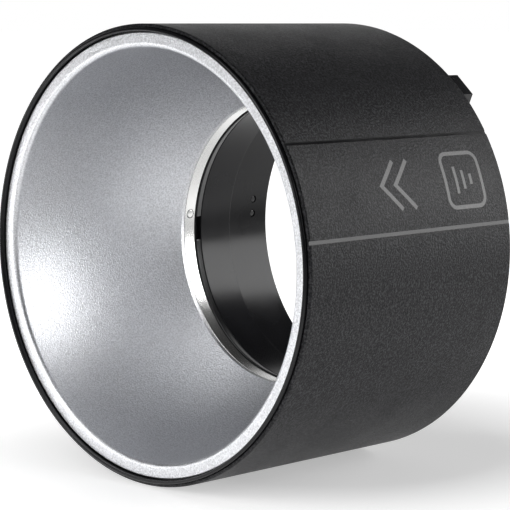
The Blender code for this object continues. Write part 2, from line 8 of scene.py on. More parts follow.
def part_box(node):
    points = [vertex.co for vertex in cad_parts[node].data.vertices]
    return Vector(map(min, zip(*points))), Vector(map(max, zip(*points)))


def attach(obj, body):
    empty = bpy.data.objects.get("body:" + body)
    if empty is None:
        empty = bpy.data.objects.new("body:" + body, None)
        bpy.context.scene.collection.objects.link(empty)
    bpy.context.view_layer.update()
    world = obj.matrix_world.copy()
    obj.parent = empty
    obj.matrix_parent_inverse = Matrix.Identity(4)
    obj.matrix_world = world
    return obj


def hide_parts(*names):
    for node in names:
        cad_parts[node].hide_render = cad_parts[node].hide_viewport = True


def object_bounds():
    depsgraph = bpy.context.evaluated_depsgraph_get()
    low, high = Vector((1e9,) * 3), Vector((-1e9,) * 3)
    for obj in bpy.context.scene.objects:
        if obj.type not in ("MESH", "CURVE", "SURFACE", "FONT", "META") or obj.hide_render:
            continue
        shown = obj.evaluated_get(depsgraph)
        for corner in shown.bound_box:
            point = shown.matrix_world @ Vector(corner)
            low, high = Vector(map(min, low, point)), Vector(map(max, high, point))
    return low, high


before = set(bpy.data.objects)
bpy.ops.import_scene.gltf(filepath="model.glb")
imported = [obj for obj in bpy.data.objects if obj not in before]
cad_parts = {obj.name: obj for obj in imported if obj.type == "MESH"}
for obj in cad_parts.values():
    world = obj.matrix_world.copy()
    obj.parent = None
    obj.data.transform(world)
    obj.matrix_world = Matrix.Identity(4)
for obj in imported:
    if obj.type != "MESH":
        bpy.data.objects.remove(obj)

MM = 0.001
ROUND = 240                    # facets round every large turned piece
FINE = 40                      # facets round screws, pins and rivets
GAP = 0.3                      # air between neighbouring pieces
MERGE = 0.0000002              # points closer than this, in metres, are one

cad_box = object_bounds()


def span(node):
    """Front, rear and outer radius of a turned node, in millimetres."""
    low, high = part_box(node)
    return low[1] / MM, high[1] / MM, -low[0] / MM


# Places read from the frame
SHELL_FRONT, SHELL_REAR, SHELL_R = span("outer_shell")
TRIM_FRONT, TRIM_REAR, TRIM_R = span("front_trim_ring")
MOUTH, TAIL_END, FLANGE_R = span("reflector_bowl")
LINER_FRONT, LINER_REAR, LINER_R = span("throat_ring")
CLIP_FRONT, CLIP_REAR, CLIP_R = span("retaining_ring")
COLLAR_FRONT, NECK_END, COLLAR_FLANGE_R = span("mount_collar")
BULKHEAD_FRONT, BULKHEAD_REAR, BULKHEAD_R = span("rear_bulkhead")
WASHER_FRONT, WASHER_REAR, WASHER_R = span("wave_washer")
LOCK_FRONT, TAB_REAR, LOCK_R = span("lock_ring")
CAP_FRONT, CAP_REAR, CAP_R = span("end_cap")
SEAT = 0.0                     # the shoulder that the lamp head rests against

# Sizes that the frame's boxes don't show
SHELL_BORE_R = 57.5
SHELL_LIP = 0.6                # rounding of the tube's front edge
BEAD_R = TRIM_R + 0.2          # closes all but a hairline of the gap to the tube
TRIM_SEAT = MOUTH + 2.5        # step in the tube that the bead's rim rests on
LEDGE_R = 56.2                 # bore of the bead's ledge behind the bowl's flange
FLANGE_BACK = MOUTH + 0.9
BOWL_EDGE_R = 53.9             # where the flat flange ends
BOWL_EDGE = MOUTH + 1.4        # where the soft edge has turned into the bowl's wall
THROAT_R = 39.6
THROAT = MOUTH + 49.8
BOWL_CURVE = 2.7               # power law of the bowl's wall
SHEET = 1.0
TAIL_R = 42.0                  # straight tail of the bowl, behind the throat
TAIL_BORE_R = 41.2
SLEEVE_R = 40.0                # bore of the collar in front of the seat
COLLAR_R = 43.6
COLLAR_FLANGE_FRONT = -2.3
SOCKET_R = 45.3                # bore that slips over the lamp head
NECK_R = 47.1
LOCK_REAR = 9.6
CAP_SHOULDER = 11.7            # where the cap's taper starts
CAP_END_R = 48.4

GROOVE_ANGLES = (31.5, 7.78)   # the two lines beside the label panel
GROOVE_WIDTH = 0.95
GROOVE_DEPTH = 0.3
RIVET_ANGLES = (52.7, 172.7, 292.7)
RIVET_Y = -16.7
RIVET_R = 1.2
CLIP_SPLIT = (174.2, 183.9)
GRIP_ANGLES = (53.85, 173.85, 293.85)
GRIP_TRAVEL = 1.2              # inward travel of a shoe
SHOE_HALF = 5.0                # half the width of a shoe
SHOE_R = 48.7                  # inner face of a shoe
PEG_R = 1.0                    # pegs of the shoes, and the cam pins
PEG_Y = 14.7
PEG_SPACING = 4.34
PIN_ENDS = (7.1, 12.2)
CAM_CIRCLE_R = 50.9
LOCK_TURN = 18.0
TAB_ANGLE = 47.05
TAB_R = 59.6
TAB_ROOT_R = 54.6
TAB_HALF = 3.7                 # half the width of the tab's tip
TAB_FLARE = 20.0               # how far each side of the tab leans outwards to its root
COLLAR_SCREWS = ((83.85, 203.85, 323.85), 51.2)
CAP_SCREWS = ((113.85, 233.85, 353.85), 50.4)
CAP_SCREW_FLOOR = 13.7
SCREW_R = 1.25
SCREW_HEAD_R = 1.9
HOLE_ROOM = 0.15               # radial room of a screw, rivet or pin in its hole
PANEL_ANGLE = 19.4             # middle of the label panel
INK = 0.02                     # how far the print stands out

# Studio, in metres
CAMERA_AZIMUTH, CAMERA_ELEVATION = 45.08, 6.585    # from the tube's axis, and down; degrees
CAMERA_PLACE = (6.445, -5.7515, 1.004)             # from the mouth's centre, in radii of the tube
CAMERA_LENS = 142.2
AIM = Vector((0.0, -0.03, 0.0))    # what the lights face
BACKDROP = (-0.703, 0.711, 0.0)    # level way from the object to the lit backdrop
FAN_APEX = (0.25, -0.27, 0.0)      # from here the floor's painted glow widens towards the backdrop


# ---------------------------------------------------------------- materials

def shader_nodes(name):
    """A new material with its node tree, its Principled shader and its object coordinates."""
    made = bpy.data.materials.new(name)
    made.use_nodes = True
    tree = made.node_tree
    shader = tree.nodes["Principled BSDF"]
    place = tree.nodes.new("ShaderNodeTexCoord")
    return made, tree, shader, place.outputs["Object"]


def noise(tree, place, scale, detail=2.0, roughness=0.5, stretch=(1, 1, 1)):
    """A noise value at a scale in features per metre, which can be stretched along an axis."""
    mapping = tree.nodes.new("ShaderNodeMapping")
    mapping.inputs["Scale"].default_value = stretch
    tree.links.new(place, mapping.inputs["Vector"])
    texture = tree.nodes.new("ShaderNodeTexNoise")
    texture.inputs["Scale"].default_value = scale
    texture.inputs["Detail"].default_value = detail
    texture.inputs["Roughness"].default_value = roughness
    tree.links.new(mapping.outputs["Vector"], texture.inputs["Vector"])
    return texture.outputs["Fac"]


def ramp(tree, value, stops):
    """Colours blended along a value; stops are (position, rgb)."""
    node = tree.nodes.new("ShaderNodeValToRGB")
    while len(node.color_ramp.elements) < len(stops):
        node.color_ramp.elements.new(0.5)
    for element, (position, color) in zip(node.color_ramp.elements, stops):
        element.position = position
        element.color = (*color, 1.0)
    tree.links.new(value, node.inputs["Fac"])
    return node.outputs["Color"]


def spread(tree, value, low, high):
    """The value, stretched from 0..1 to low..high."""
    node = tree.nodes.new("ShaderNodeMapRange")
    node.inputs["From Min"].default_value = 0.25
    node.inputs["From Max"].default_value = 0.75
    node.inputs["To Min"].default_value = low
    node.inputs["To Max"].default_value = high
    tree.links.new(value, node.inputs["Value"])
    return node.outputs["Result"]


def bump(tree, shader, height, distance, strength=1.0, below=None):
    """Feed a height (distance in metres) to the shader's normal, on top of an earlier bump."""
    node = tree.nodes.new("ShaderNodeBump")
    node.inputs["Distance"].default_value = distance
    node.inputs["Strength"].default_value = strength
    tree.links.new(height, node.inputs["Height"])
    if below is not None:
        tree.links.new(below, node.inputs["Normal"])
    tree.links.new(node.outputs["Normal"], shader.inputs["Normal"])
    return node.outputs["Normal"]


def grained_black():
    """Fine wrinkle coating of the tube: pale and dark grains of half a millimetre, semi-matte."""
    made, tree, shader, place = shader_nodes("grained_black")
    grain = noise(tree, place, 1900, 3.0, 0.65)
    blotch = noise(tree, place, 90, 2.0)
    tree.links.new(ramp(tree, grain, [(0.46, (0.001, 0.001, 0.002)), (0.62, (0.042, 0.042, 0.046))]),
                   shader.inputs["Base Color"])
    tree.links.new(spread(tree, blotch, 0.42, 0.50), shader.inputs["Roughness"])
    shader.inputs["Specular IOR Level"].default_value = 0.22
    bump(tree, shader, grain, 0.00018)
    return made


def smooth_black(name, color, roughness, rings=0.0, shine=0.5):
    """Smooth black anodising or plastic, with a faint haze and, if asked, fine turning marks."""
    made, tree, shader, place = shader_nodes(name)
    haze = noise(tree, place, 60, 3.0)
    shade = tuple(1.7 * c for c in color)
    tree.links.new(ramp(tree, haze, [(0.3, color), (0.75, shade)]), shader.inputs["Base Color"])
    tree.links.new(spread(tree, haze, roughness * 0.85, roughness * 1.2), shader.inputs["Roughness"])
    shader.inputs["Specular IOR Level"].default_value = shine
    skin = bump(tree, shader, noise(tree, place, 700, 2.0), 0.00001, 0.3)
    if rings:
        bump(tree, shader, noise(tree, place, 1.0, 1.0, stretch=(20, 6000, 20)), 0.000004, rings, skin)
    return made


def silver(name, color, roughness, speckle, peel, marks):
    """Bright aluminium: speckled and dimpled like orange peel, with faint marks round the axis."""
    made, tree, shader, place = shader_nodes(name)
    shader.inputs["Metallic"].default_value = 1.0
    cloud = noise(tree, place, 45, 3.0)
    grain = noise(tree, place, 2500, 2.0, 0.6)
    tone = tuple((1.0 - speckle) * c for c in color)
    tree.links.new(ramp(tree, grain, [(0.35, tone), (0.65, color)]), shader.inputs["Base Color"])
    tree.links.new(spread(tree, cloud, roughness * 0.9, roughness * 1.12), shader.inputs["Roughness"])
    dimples = bump(tree, shader, grain, 0.00016, peel)
    bump(tree, shader, noise(tree, place, 1.0, 2.0, stretch=(15, 3500, 15)), 0.000012, marks, dimples)
    return made


def steel(name, color, roughness):
    """Steel with fine scratches."""
    made, tree, shader, place = shader_nodes(name)
    shader.inputs["Metallic"].default_value = 1.0
    haze = noise(tree, place, 300, 3.0)
    tone = tuple(0.8 * c for c in color)
    tree.links.new(ramp(tree, haze, [(0.3, tone), (0.7, color)]), shader.inputs["Base Color"])
    tree.links.new(spread(tree, haze, roughness * 0.8, roughness * 1.2), shader.inputs["Roughness"])
    bump(tree, shader, noise(tree, place, 400, 2.0, stretch=(1, 12, 1)), 0.00001, 0.4)
    return made


def print_ink():
    """Pale grey screen print over the grain."""
    made, tree, shader, place = shader_nodes("print_ink")
    grain = noise(tree, place, 2600, 3.0, 0.6)
    tree.links.new(ramp(tree, grain, [(0.3, (0.15, 0.15, 0.15)), (0.7, (0.24, 0.24, 0.24))]),
                   shader.inputs["Base Color"])
    tree.links.new(spread(tree, grain, 0.45, 0.6), shader.inputs["Roughness"])
    bump(tree, shader, grain, 0.00003, 0.4)
    return made


LOOKS = {
    "grained_black": grained_black(),
    "groove_black": smooth_black("groove_black", (0.007, 0.007, 0.008), 0.18, shine=0.28),
    "collar_black": smooth_black("collar_black", (0.007, 0.007, 0.008), 0.20, 0.5, 0.22),
    "bead_black": smooth_black("bead_black", (0.006, 0.006, 0.007), 0.22, shine=0.3),
    "lever_black": smooth_black("lever_black", (0.010, 0.010, 0.011), 0.26),
    "satin_silver": silver("satin_silver", (0.92, 0.93, 0.96), 0.37, 0.32, 0.8, 0.2),
    "bright_silver": silver("bright_silver", (0.87, 0.87, 0.86), 0.22, 0.06, 0.1, 0.5),
    "spring_steel": steel("spring_steel", (0.45, 0.45, 0.46), 0.28),
    "screw_steel": steel("screw_steel", (0.07, 0.07, 0.075), 0.34),
    "print_ink": print_ink(),
}


# ---------------------------------------------------------------- shape tools

def rounded(profile, steps=5):
    """Replace each (r, y, radius) corner of a closed profile by an arc; (r, y) stays sharp."""
    points = []
    count = len(profile)
    for i, corner in enumerate(profile):
        here = Vector(corner[:2])
        if len(corner) == 2:
            points.append(here)
            continue
        before = (Vector(profile[i - 1][:2]) - here).normalized()
        after = (Vector(profile[(i + 1) % count][:2]) - here).normalized()
        half = before.angle(after) / 2
        middle = here + (before + after).normalized() * corner[2] / math.sin(half)
        start = here + before * corner[2] / math.tan(half) - middle
        end = here + after * corner[2] / math.tan(half) - middle
        turn = start.angle_signed(end)
        for step in range(steps + 1):
            points.append(middle + Matrix.Rotation(-turn * step / steps, 2) @ start)
    return points


def new_piece(name, shape, look):
    """Turn a bmesh into an object with a material."""
    bmesh.ops.recalc_face_normals(shape, faces=shape.faces)
    mesh = bpy.data.meshes.new(name)
    shape.to_mesh(mesh)
    shape.free()
    obj = bpy.data.objects.new(name, mesh)
    bpy.context.scene.collection.objects.link(obj)
    mesh.materials.append(LOOKS[look])
    return obj


def spun(profile, closed=True, steps=ROUND, turn=Matrix()):
    """Spin a profile of (r, y) millimetres about the Y axis, then place it by the turn matrix."""
    shape = bmesh.new()
    verts = [shape.verts.new((p[0] * MM, p[1] * MM, 0.0)) for p in profile]
    pairs = list(zip(verts, verts[1:]))
    if closed:
        pairs.append((verts[-1], verts[0]))
    edges = [shape.edges.new(pair) for pair in pairs]
    bmesh.ops.spin(shape, geom=verts + edges, cent=(0, 0, 0), axis=(0, 1, 0),
                   angle=math.tau, steps=steps, use_merge=True)
    bmesh.ops.remove_doubles(shape, verts=shape.verts, dist=MERGE)
    shape.transform(turn)
    return shape


def ring(name, profile, look):
    """A large turned ring with rounded corners."""
    return new_piece(name, spun(rounded(profile)), look)


def outwards(angle, y, sideways=0.0):
    """Frame at a place on the Y axis whose local Y runs straight out at the angle."""
    turn = Matrix.Rotation(-math.radians(angle), 4, "Y")
    quarter = Matrix.Rotation(-math.pi / 2, 4, "Z")
    return turn @ Matrix.Translation((0.0, y * MM, sideways * MM)) @ quarter


def beside(angle, radius, y):
    """Frame parallel to the Y axis, at an angle and a radius."""
    turn = Matrix.Rotation(-math.radians(angle), 4, "Y")
    return turn @ Matrix.Translation((radius * MM, y * MM, 0.0))


def rod(radius, start, end, place, sides=FINE):
    """A closed cylinder along the place's local Y."""
    return spun([(0, start), (radius, start), (radius, end), (0, end)], False, sides, place)


def block(place, size):
    """A closed box centred on the place."""
    shape = bmesh.new()
    bmesh.ops.create_cube(shape, size=MM)
    shape.transform(place @ Matrix.Diagonal((*size, 1.0)))
    return shape


def gathered(shapes):
    """All the shapes as one bmesh."""
    whole = bmesh.new()
    for shape in shapes:
        bmesh.ops.recalc_face_normals(shape, faces=shape.faces)
        mesh = bpy.data.meshes.new("part")
        shape.to_mesh(mesh)
        shape.free()
        whole.from_mesh(mesh)
        bpy.data.meshes.remove(mesh)
    return whole


def combine(obj, shapes, operation="DIFFERENCE"):
    """Cut the object with the shapes, or join them, and keep the result as its mesh."""
    tool = new_piece("tool", gathered(shapes), "spring_steel")
    tool.data.materials.clear()
    boolean = obj.modifiers.new("boolean", "BOOLEAN")
    boolean.operation = operation
    boolean.solver = "EXACT"
    boolean.object = tool
    keep_modifiers(obj)
    bpy.data.objects.remove(tool, do_unlink=True)
    return obj


def keep_modifiers(obj):
    """Make the object's mesh what its modifiers show."""
    depsgraph = bpy.context.evaluated_depsgraph_get()
    mesh = bpy.data.meshes.new_from_object(obj.evaluated_get(depsgraph))
    mesh.name = obj.name
    obj.modifiers.clear()
    obj.data = mesh


def soften_edges(obj, width):
    """Round the edges that cuts and flat outlines left sharp."""
    bevel = obj.modifiers.new("bevel", "BEVEL")
    bevel.width = width * MM
    bevel.segments = 3
    bevel.limit_method = "ANGLE"
    bevel.angle_limit = math.radians(40)
    bevel.use_clamp_overlap = True
    keep_modifiers(obj)


def finish_piece(obj, body, slot, *nodes, sharp=32):
    """Smooth the piece, weight its normals by face size, tie it to its body and hide the CAD nodes that it
    stands for.
    """
    obj.data.shade_smooth()
    obj.data.set_sharp_from_angle(angle=math.radians(sharp))
    weighted = obj.modifiers.new("weighted", "WEIGHTED_NORMAL")
    weighted.keep_sharp = True
    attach(obj, body)
    if nodes:
        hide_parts(*nodes)
    return obj


def flat_plate(outline, thickness, place):
    """A closed plate from a flat outline of (x, z) millimetres, centred on y = 0."""
    shape = bmesh.new()
    verts = [shape.verts.new((x * MM, -thickness / 2 * MM, z * MM)) for x, z in outline]
    face = shape.faces.new(verts)
    moved = bmesh.ops.extrude_face_region(shape, geom=[face])
    top = [v for v in moved["geom"] if isinstance(v, bmesh.types.BMVert)]
    bmesh.ops.translate(shape, verts=top, vec=(0, thickness * MM, 0))
    shape.transform(place)
    return shape


def arc_slot(angles, radii, half_width, steps=16):
    """Outline of a slot whose middle line goes between two angles and two radii."""
    middle = []
    for step in range(steps + 1):
        share = step / steps
        angle = math.radians(angles[0] + (angles[1] - angles[0]) * share)
        middle.append((radii[0] + (radii[1] - radii[0]) * share, angle))
    outline = [((r + half_width) * math.cos(a), (r + half_width) * math.sin(a)) for r, a in middle]
    outline += half_round(middle[-1], half_width, 0.0)
    outline += [((r - half_width) * math.cos(a), (r - half_width) * math.sin(a))
                for r, a in reversed(middle)]
    outline += half_round(middle[0], half_width, math.pi)
    return outline


def half_round(centre, half_width, first, steps=10):
    """Points of a slot's half-round end."""
    radius, angle = centre
    x, z = radius * math.cos(angle), radius * math.sin(angle)
    turns = [angle + first + math.pi * step / steps for step in range(1, steps)]
    return [(x + half_width * math.cos(t), z + half_width * math.sin(t)) for t in turns]


# ---------------------------------------------------------------- the housing

def shell_tube():
    """The tube, with two glossy grooves along its label panel."""
    step = TRIM_SEAT + GAP
    shell = ring("shell_tube", [
        (SHELL_R, SHELL_FRONT, SHELL_LIP), (SHELL_R, SHELL_REAR, 0.25),
        (BULKHEAD_R + GAP, SHELL_REAR, 0.2), (BULKHEAD_R + GAP, SEAT), (SHELL_BORE_R, SEAT),
        (SHELL_BORE_R, step), (TRIM_R + GAP, step), (TRIM_R + GAP, SHELL_FRONT, 0.1)], "grained_black")
    shell.data.materials.append(LOOKS["groove_black"])
    floor_r = SHELL_R - GROOVE_DEPTH
    length = SHELL_REAR - SHELL_FRONT + 4
    middle = (SHELL_REAR + SHELL_FRONT) / 2
    cutters = [block(beside(angle, floor_r + 2, middle), (4, length, GROOVE_WIDTH))
               for angle in GROOVE_ANGLES]
    combine(shell, cutters)
    for face in shell.data.polygons:
        x, y, z = (v / MM for v in face.center)
        in_groove = floor_r - 0.1 < math.hypot(x, z) < SHELL_R - 0.02
        if in_groove and z > 0 and y > SHELL_FRONT + 1:
            face.material_index = 1
    finish_piece(shell, "housing", "shell_black", "outer_shell")


def mouth_bead():
    """Rounded bead round the mouth, with the ledge behind the bowl's flange."""
    bore = FLANGE_R + GAP
    bead = ring("mouth_bead", [
        (BEAD_R, TRIM_FRONT, 0.5), (BEAD_R, TRIM_SEAT, 0.1), (SHELL_BORE_R - GAP, TRIM_SEAT),
        (SHELL_BORE_R - GAP, TRIM_REAR, 0.2), (LEDGE_R, TRIM_REAR, 0.2),
        (LEDGE_R, FLANGE_BACK + GAP, 0.1), (bore, FLANGE_BACK + GAP), (bore, TRIM_FRONT, 0.2)],
        "bead_black")
    finish_piece(bead, "housing", "gloss_black", "front_trim_ring")


def bowl_radius(y):
    """Inner radius, which falls ever faster from the bowl's front edge to its throat."""
    share = (y - BOWL_EDGE) / (THROAT - BOWL_EDGE)
    return BOWL_EDGE_R - (BOWL_EDGE_R - THROAT_R) * share ** BOWL_CURVE


def bowl():
    """Spun bowl with its flat flange, its soft front edge and the tail behind the throat."""
    steps = 40
    front = BOWL_EDGE + 0.1
    heights = [front + (THROAT - BOWL_EDGE - 0.1) * i / steps for i in range(steps + 1)]
    inside = [(bowl_radius(y), y) for y in heights]
    outside = [(max(r + SHEET, TAIL_R), y) for r, y in inside[:-2:3]]
    seam = LINER_FRONT - 0.1
    profile = rounded([
        (FLANGE_R, MOUTH, 0.3), (FLANGE_R, FLANGE_BACK, 0.1), (BOWL_EDGE_R + 1.2, FLANGE_BACK),
        *outside, (TAIL_R, THROAT), (TAIL_R, TAIL_END, 0.1),
        (TAIL_BORE_R, TAIL_END, 0.1), (TAIL_BORE_R, seam), (THROAT_R, seam, 0.15),
        *reversed(inside), (BOWL_EDGE_R, MOUTH, BOWL_EDGE - MOUTH)], steps=8)
    shape = new_piece("bowl", spun(profile), "satin_silver")
    combine(shape, rivet_holes())
    finish_piece(shape, "housing", "satin_silver", "reflector_bowl")


def rivet_holes():
    """Rods that cut the rivets' holes through the throat."""
    return [rod(RIVET_R + HOLE_ROOM, THROAT_R - 4, COLLAR_R + 4, outwards(angle, RIVET_Y))
            for angle in RIVET_ANGLES]


def throat_liner():
    """Bright ring in the throat, with its rivet holes."""
    liner = ring("throat_liner", [
        (LINER_R, LINER_FRONT, 0.1), (LINER_R, LINER_REAR, 0.1),
        (THROAT_R, LINER_REAR, 0.12), (THROAT_R, LINER_FRONT, 0.12)], "bright_silver")
    combine(liner, rivet_holes())
    finish_piece(liner, "housing", "bright_silver", "throat_ring")


def rivets():
    """Rivets with a low domed end inside the throat and a formed head outside the collar."""
    head = COLLAR_R + GAP
    profile = rounded([
        (0.0, THROAT_R - 0.1), (RIVET_R, THROAT_R - 0.05, 0.2), (RIVET_R, head), (2.0, head, 0.1),
        (2.0, head + 0.6, 0.4), (0.0, head + 0.8)])
    for number, angle in enumerate(RIVET_ANGLES, start=1):
        shape = spun(profile, False, FINE, outwards(angle, RIVET_Y))
        rivet = new_piece(f"rivet_{number}", shape, "bright_silver")
        finish_piece(rivet, "housing", "bright_silver", f"throat_rivet_{number}")


def clip_ring():
    """Split retaining ring behind the throat liner."""
    clip = ring("clip_ring", [
        (CLIP_R, CLIP_FRONT, 0.15), (CLIP_R, CLIP_REAR, 0.15),
        (SLEEVE_R - 0.05, CLIP_REAR, 0.2), (THROAT_R - 0.45, CLIP_FRONT, 0.3)], "bead_black")
    start, end = CLIP_SPLIT
    width = 2 * SLEEVE_R * math.sin(math.radians(end - start) / 2)
    combine(clip, [block(beside((start + end) / 2, SLEEVE_R, (CLIP_FRONT + CLIP_REAR) / 2),
                         (10, 10, width))])
    soften_edges(clip, 0.12)
    finish_piece(clip, "housing", "gloss_black", "retaining_ring")


def peg_frames(angle):
    """The places of a shoe's two pegs."""
    return [outwards(angle, PEG_Y, side * PEG_SPACING / 2) for side in (-1, 1)]


def collar():
    """Sleeve, shoulder, flange and socket in one turning."""
    groove_end = CLIP_REAR + GAP
    counterbore = LINER_REAR + GAP
    shape = ring("collar", [
        (COLLAR_R, COLLAR_FRONT, 0.2), (COLLAR_R, COLLAR_FLANGE_FRONT),
        (COLLAR_FLANGE_R, COLLAR_FLANGE_FRONT, 0.3), (COLLAR_FLANGE_R, SEAT, 0.3), (NECK_R, SEAT),
        (NECK_R, NECK_END, 0.3), (SOCKET_R, NECK_END, 0.6), (SOCKET_R, SEAT, 0.3),
        (SLEEVE_R, SEAT, 0.2), (SLEEVE_R, groove_end, 0.12), (TAIL_BORE_R, groove_end),
        (TAIL_BORE_R, counterbore), (TAIL_R + GAP, counterbore), (TAIL_R + GAP, COLLAR_FRONT, 0.15)],
        "collar_black")
    holes = rivet_holes()
    for angle in GRIP_ANGLES:
        holes += [rod(PEG_R + 0.1, SOCKET_R - 4, NECK_R + 4, place) for place in peg_frames(angle)]
    angles, circle = COLLAR_SCREWS
    holes += [rod(SCREW_R + HOLE_ROOM, -4, 4, beside(angle, circle, SEAT)) for angle in angles]
    combine(shape, holes)
    finish_piece(shape, "housing", "gloss_black", "mount_collar")


def bulkhead():
    """Plate inside the rear end of the tube."""
    plate = ring("bulkhead", [
        (BULKHEAD_R, BULKHEAD_FRONT, 0.2), (BULKHEAD_R, BULKHEAD_REAR, 0.3),
        (NECK_R + GAP, BULKHEAD_REAR, 0.2), (NECK_R + GAP, BULKHEAD_FRONT, 0.2)], "grained_black")
    holes = [rod(SCREW_R + HOLE_ROOM, -4, 4, beside(angle, circle, BULKHEAD_FRONT))
             for angles, circle in (COLLAR_SCREWS, CAP_SCREWS) for angle in angles]
    combine(plate, holes)
    finish_piece(plate, "housing", "shell_black", "rear_bulkhead")


def screws(name, places, under_head, node):
    """Socket cap screws with their heads at the rear."""
    angles, circle = places
    for number, angle in enumerate(angles, start=1):
        low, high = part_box(f"{node}_{number}")
        start, top = low[1] / MM, high[1] / MM
        profile = rounded([
            (0.0, start), (SCREW_R, start, 0.25), (SCREW_R, under_head), (SCREW_HEAD_R, under_head, 0.1),
            (SCREW_HEAD_R, top, 0.25), (0.0, top)])
        screw = new_piece(f"{name}_{number}", spun(profile, False, FINE, beside(angle, circle, 0.0)),
                          "screw_steel")
        combine(screw, [rod(1.1, top - 0.9, top + 2, beside(angle, circle, 0.0), sides=6)])
        finish_piece(screw, "housing", "screw_steel", f"{node}_{number}")


def spring_washer():
    """Washer with three waves and rounded edges."""
    inner, half = NECK_R + 0.4, 0.25
    wave = (WASHER_REAR - WASHER_FRONT) / 2 - half
    middle = (WASHER_REAR + WASHER_FRONT) / 2
    shape = spun(rounded([(WASHER_R, -half, 0.1), (WASHER_R, half, 0.1),
                          (inner, half, 0.1), (inner, -half, 0.1)]))
    for vert in shape.verts:
        turn = math.atan2(vert.co.z, vert.co.x)
        vert.co.y += (middle - wave * math.sin(3 * turn)) * MM
    finish_piece(new_piece("spring_washer", shape, "spring_steel"), "housing", "spring_steel",
                 "wave_washer")


def rear_cover():
    """Tapered end cap with its shoe pockets and counterbored screw holes."""
    cap = ring("rear_cover", [
        (CAP_R, CAP_FRONT, 0.2), (CAP_R, CAP_SHOULDER, 0.8), (CAP_END_R, CAP_REAR, 0.3),
        (NECK_R + GAP, CAP_REAR, 0.2), (NECK_R + GAP, CAP_FRONT, 0.2)], "lever_black")
    inner, outer, front, rear = NECK_R - 1.0, 52.9, CAP_FRONT - 1.0, 16.3
    pocket = [(inner, front), (outer, front), (outer, CAP_SHOULDER + 0.2), (50.5, rear), (inner, rear)]
    cuts = [upright(pocket, SHOE_HALF + GAP, angle) for angle in GRIP_ANGLES]
    angles, circle = CAP_SCREWS
    hole, well = SCREW_R + HOLE_ROOM, SCREW_HEAD_R + 0.25
    stepped = [(0, 0), (hole, 0), (hole, CAP_SCREW_FLOOR), (well, CAP_SCREW_FLOOR), (well, 25), (0, 25)]
    cuts += [spun(stepped, False, FINE, beside(angle, circle, 0.0)) for angle in angles]
    combine(cap, cuts)
    soften_edges(cap, 0.15)
    finish_piece(cap, "housing", "lever_black", "end_cap")


def upright(outline, half_width, angle):
    """A block with the (radius, y) outline, standing at an angle round the axis."""
    turn = Matrix.Rotation(-math.radians(angle), 4, "Y")
    lift = Matrix.Rotation(math.pi / 2, 4, "X")
    return flat_plate([(r, -y) for r, y in outline], 2 * half_width, turn @ lift)


# ---------------------------------------------------------------- the moving parts

def lock_lever():
    """Lock ring with its flared finger tab, cam slots and clearance slots."""
    lock_bore = NECK_R + GAP
    plate = ring("lock_lever", [
        (LOCK_R, LOCK_FRONT), (LOCK_R, LOCK_REAR), (lock_bore, LOCK_REAR), (lock_bore, LOCK_FRONT)],
        "lever_black")
    root = TAB_HALF + (TAB_R - TAB_ROOT_R) * math.tan(math.radians(TAB_FLARE))
    outline = [(TAB_ROOT_R, -root), (TAB_R, -TAB_HALF), (TAB_R, TAB_HALF), (TAB_ROOT_R, root)]
    turn = Matrix.Rotation(-math.radians(TAB_ANGLE), 4, "Y")
    middle = Matrix.Translation((0, (LOCK_FRONT + TAB_REAR) / 2 * MM, 0))
    combine(plate, [flat_plate(outline, TAB_REAR - LOCK_FRONT, turn @ middle)], "UNION")
    place = Matrix.Translation((0, (LOCK_FRONT + LOCK_REAR) / 2 * MM, 0))
    slots = []
    for angle in GRIP_ANGLES:
        cam = arc_slot((angle - LOCK_TURN, angle), (CAM_CIRCLE_R - GRIP_TRAVEL, CAM_CIRCLE_R), PEG_R + 0.2)
        slots.append(flat_plate(cam, 12, place))
    angles, circle = CAP_SCREWS
    for angle in angles:
        clear = arc_slot((angle - LOCK_TURN, angle), (circle, circle), SCREW_R + 0.35)
        slots.append(flat_plate(clear, 12, place))
    combine(plate, slots)
    soften_edges(plate, 0.25)
    finish_piece(plate, "lock_ring", "lever_black", "lock_ring")


def shoes():
    """Grip shoes with their pegs, and the cam pins that they carry."""
    outer, front, rear = 52.6, 10.2, 16.0
    outline = [(SHOE_R, front), (outer, front), (outer, 11.8), (50.2, rear), (SHOE_R, rear)]
    tip, foot = SOCKET_R + 0.15, SHOE_R + 0.6
    start, end = PIN_ENDS
    for number, angle in enumerate(GRIP_ANGLES, start=1):
        shoe = new_piece(f"shoe_{number}", upright(outline, SHOE_HALF, angle), "lever_black")
        peg = rounded([(0.0, tip), (PEG_R, tip, 0.3), (PEG_R, foot), (0.0, foot)])
        combine(shoe, [spun(peg, False, FINE, place) for place in peg_frames(angle)], "UNION")
        combine(shoe, [rod(PEG_R + HOLE_ROOM, 5, end + GAP, beside(angle, CAM_CIRCLE_R, 0.0))])
        soften_edges(shoe, 0.12)
        finish_piece(shoe, f"grip_{number}", "lever_black", f"grip_shoe_{number}")
        profile = rounded([(0.0, start), (PEG_R, start, 0.2), (PEG_R, end, 0.2), (0.0, end)])
        pin = new_piece(f"pin_{number}", spun(profile, False, FINE, beside(angle, CAM_CIRCLE_R, 0.0)),
                        "spring_steel")
        finish_piece(pin, f"grip_{number}", "spring_steel", f"cam_pin_{number}")


# ---------------------------------------------------------------- printed marks

def on_shell(across, along, lift):
    """A point over the label panel: across is the arc length from the panel's middle line."""
    angle = math.radians(PANEL_ANGLE) + across / SHELL_R
    radius = (SHELL_R + lift) * MM
    return (radius * math.cos(angle), along * MM, radius * math.sin(angle))


def divided(corners, closed, step=0.8):
    """The corners with extra points between them, so that ink follows the tube's curve."""
    path = [Vector(corner) for corner in corners]
    ends = path[1:] + path[:1] if closed else path[1:]
    points = []
    for here, there in zip(path, ends):
        count = max(1, math.ceil((there - here).length / step))
        points += [here.lerp(there, i / count) for i in range(count)]
    return points if closed else points + [path[-1]]


